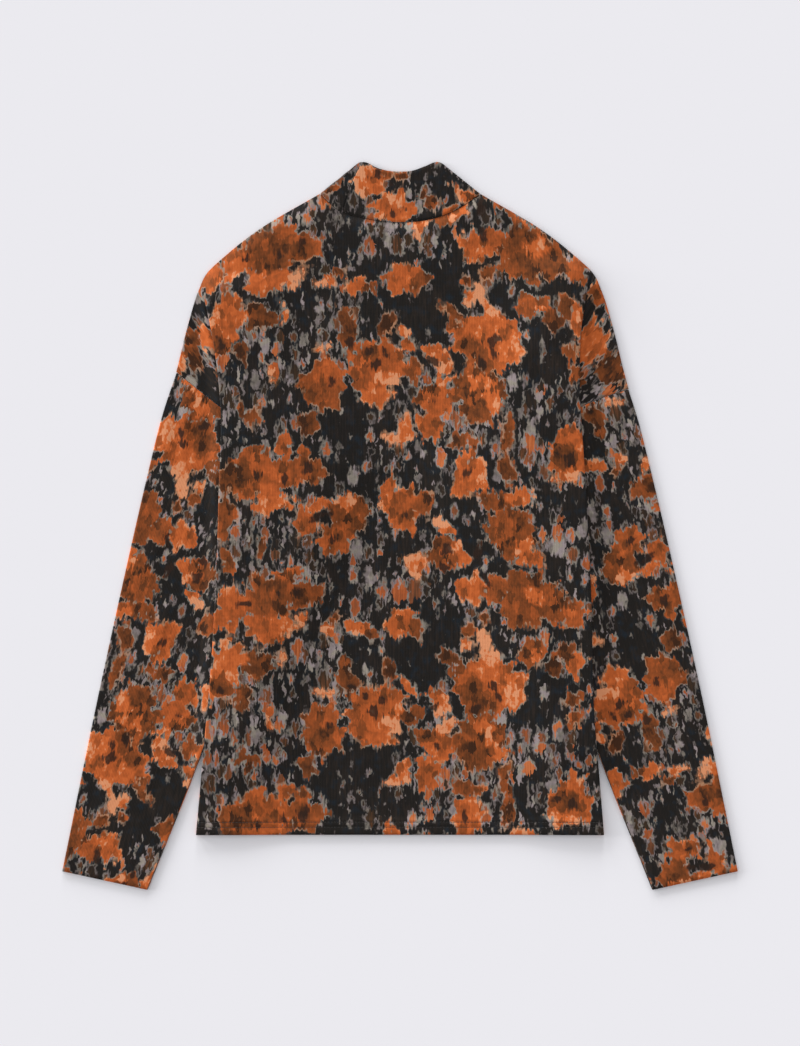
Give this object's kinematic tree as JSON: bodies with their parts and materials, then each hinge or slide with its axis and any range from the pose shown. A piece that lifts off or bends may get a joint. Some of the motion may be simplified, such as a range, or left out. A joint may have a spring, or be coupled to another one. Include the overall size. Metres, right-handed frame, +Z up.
{
  "type": "long-sleeved high-neck top lying flat",
  "caption": "Boxy long-sleeved top with dropped shoulders and a high soft collar, lying flat with its back up and its sleeves down.",
  "frame": {"origin": "centre of the bounding box at its bottom, on the surface that the top lies on", "axes": "+Z up from the surface, +Y from the hem to the collar, X across; the back of the top faces +Z"},
  "size_m": [0.6756, 0.7279, 0.0075],
  "materials": {
    "jersey": "matte knit, printed all over"
  },
  "bodies": {
    "root": {"front": "jersey", "back": "jersey", "sleeve_left": "jersey", "sleeve_right": "jersey", "collar": "jersey"}
  },
  "joints": []
}
